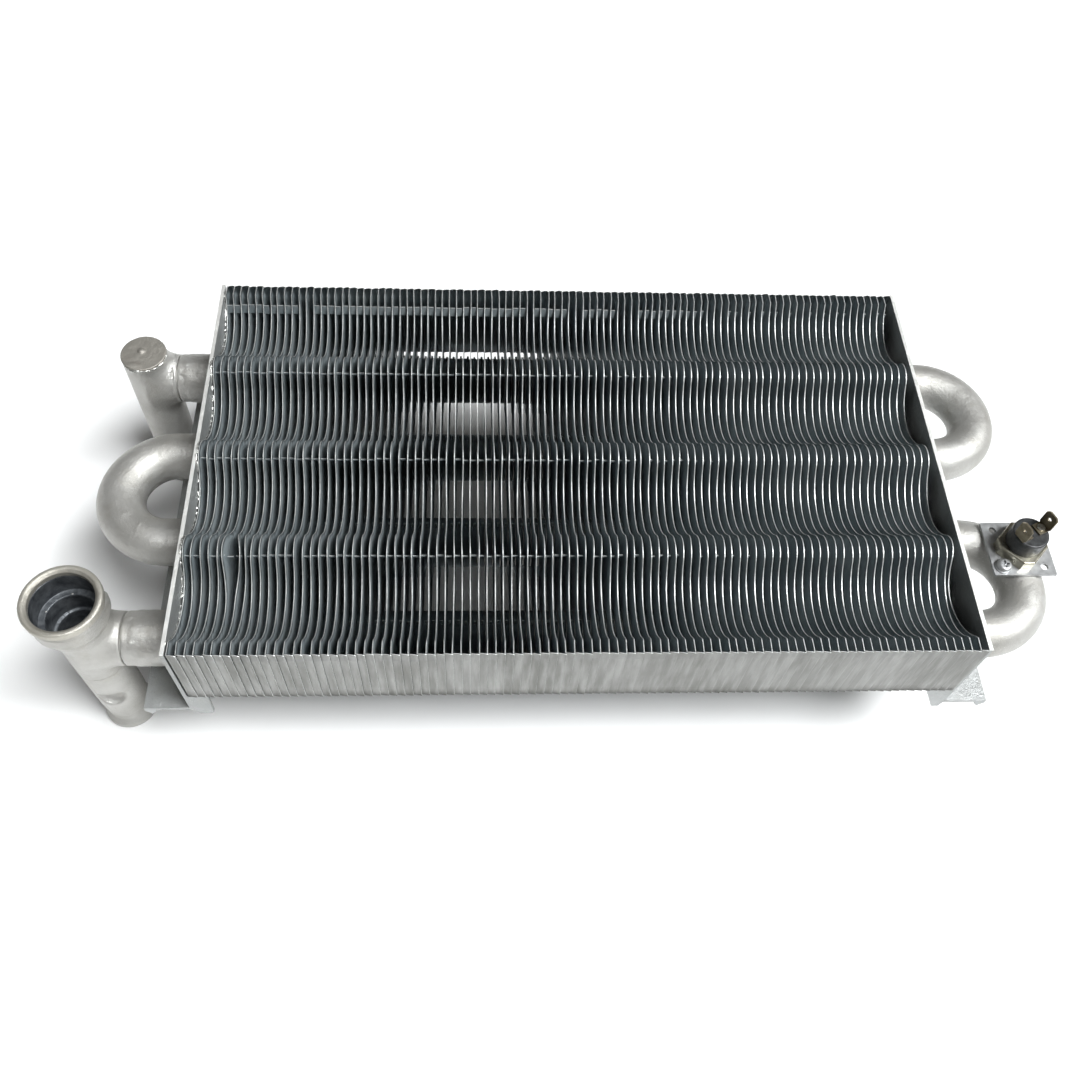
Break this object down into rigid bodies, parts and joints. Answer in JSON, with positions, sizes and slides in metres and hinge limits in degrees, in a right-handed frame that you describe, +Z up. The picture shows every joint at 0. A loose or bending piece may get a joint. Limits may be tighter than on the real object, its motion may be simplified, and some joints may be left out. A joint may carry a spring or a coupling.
{
  "type": "finned tube heat exchanger",
  "caption": "Boiler heat exchanger: serpentine tubes through a pack of scalloped fins between sheet end plates, with a clip-on thermostat.",
  "frame": {"origin": "centre of the bounding box in plan, at the level of the two lower pipe ends", "axes": "+X along the tubes, from the water connections to the thermostat end; +Y to the back, from the side with the flow connection; +Z up, away from the feet"},
  "size_m": [0.4133, 0.184, 0.1018],
  "materials": {
    "plate_sheet": "satin silver coating on sheet",
    "fin_sheet": "thin sheet, dull dark faces with bright cut edges",
    "coated_copper": "satin silver dip coating, slightly uneven",
    "braze": "rough brazed metal under the same coating",
    "steel_strip": "plain strip",
    "bright_sheet": "bright sheet",
    "nickel_case": "pressed nickel-coloured metal",
    "black_moulding": "moulded phenolic",
    "bimetal": "dished strip metal",
    "ceramic_pin": "glazed pin",
    "terminal_brass": "tarnished blade",
    "rivet_metal": "tubular rivet",
    "zinc_screw": "bright zinc plate"
  },
  "bodies": {
    "root": {"end_plate_left": "plate_sheet", "end_plate_right": "plate_sheet", "fin_pack": "fin_sheet", "tube_1": "coated_copper", "tube_2": "coated_copper", "tube_3": "coated_copper", "tube_4": "coated_copper", "turbulator_1": "steel_strip", "turbulator_2": "steel_strip", "turbulator_3": "steel_strip", "turbulator_4": "steel_strip", "u_bend_left": "coated_copper", "u_bend_right_front": "coated_copper", "u_bend_right_back": "coated_copper", "plate_braze_rings": "braze", "bend_braze_rings": "braze", "flow_sleeve": "coated_copper", "return_sleeve": "coated_copper", "flow_tee": "coated_copper", "flow_union_rim": "coated_copper", "flow_pipe": "coated_copper", "return_header": "coated_copper", "return_cap": "coated_copper", "sensor_plate": "bright_sheet", "sensor_saddle": "coated_copper", "thermostat_case": "nickel_case", "thermostat_body": "black_moulding", "bimetal_disc": "bimetal", "transfer_pin": "ceramic_pin", "contact_arm": "terminal_brass", "terminal_left": "terminal_brass", "terminal_right": "terminal_brass", "terminal_rivets": "rivet_metal", "sensor_screws": "zinc_screw", "sensor_washers": "zinc_screw"}
  },
  "joints": []
}
